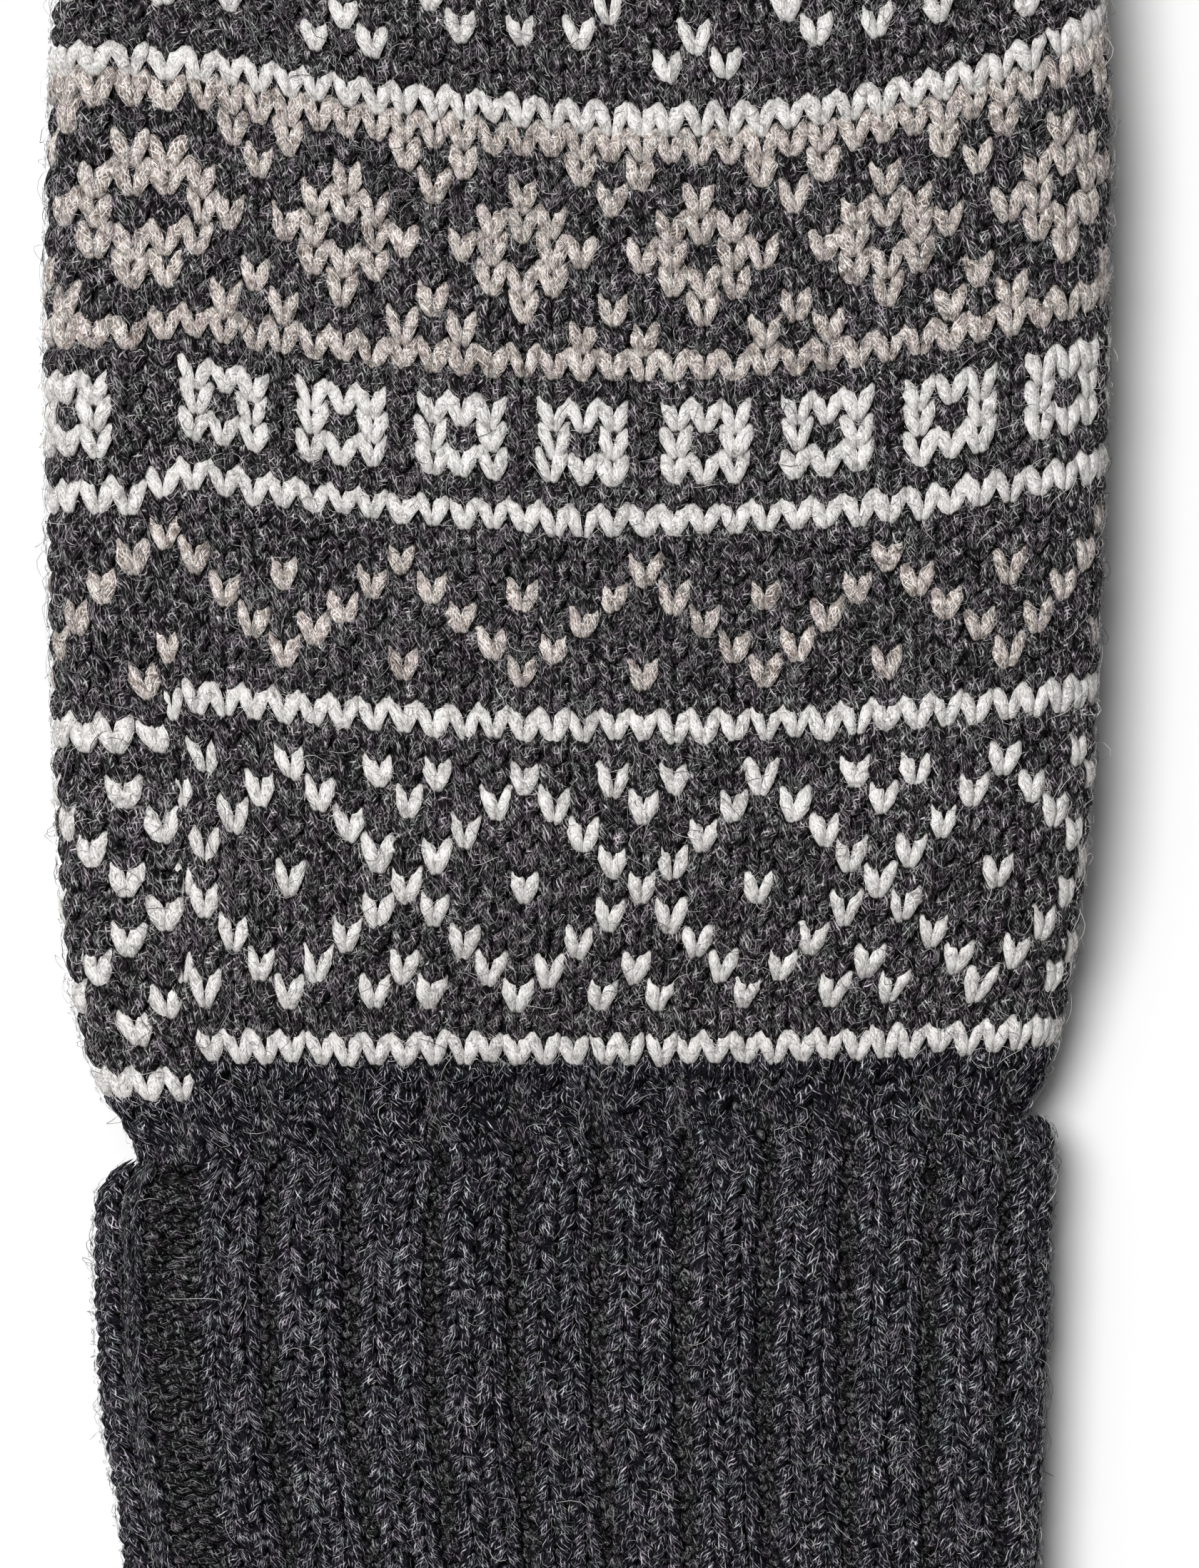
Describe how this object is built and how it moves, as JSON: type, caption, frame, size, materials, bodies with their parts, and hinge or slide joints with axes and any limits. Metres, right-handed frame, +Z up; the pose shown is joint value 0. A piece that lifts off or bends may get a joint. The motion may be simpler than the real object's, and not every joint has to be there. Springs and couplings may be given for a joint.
{
  "type": "jacquard mitten",
  "caption": "Knitted wool mitten with a patterned hand, a thumb folded under the palm and a turned-up ribbed cuff, lying palm down.",
  "frame": {"origin": "On the surface that the mitten lies on, under the middle of its outline.", "axes": "+Y towards the fingertips, +X towards the thumb side, +Z up through the back of the hand."},
  "size_m": [0.1051, 0.2288, 0.0262],
  "materials": {
    "jacquard_wool": "Charcoal melange wool in stranded stocking stitch, patterned in off-white and pinkish beige wool, with a light fuzz of stray fibres.",
    "charcoal_wool": "Charcoal melange wool in plain stocking stitch.",
    "rib_wool": "Slightly bluish charcoal melange wool in two-by-two rib, pairs of raised knit columns with narrow dark purl furrows.",
    "white_wool": "Off-white wool, the lines, crosses and squares of the jacquard.",
    "beige_wool": "Pinkish beige two-ply wool, the peaks and rosettes of the jacquard."
  },
  "bodies": {
    "root": {"hand": "jacquard_wool", "thumb": "charcoal_wool", "rib_cuff": "rib_wool"}
  },
  "joints": []
}
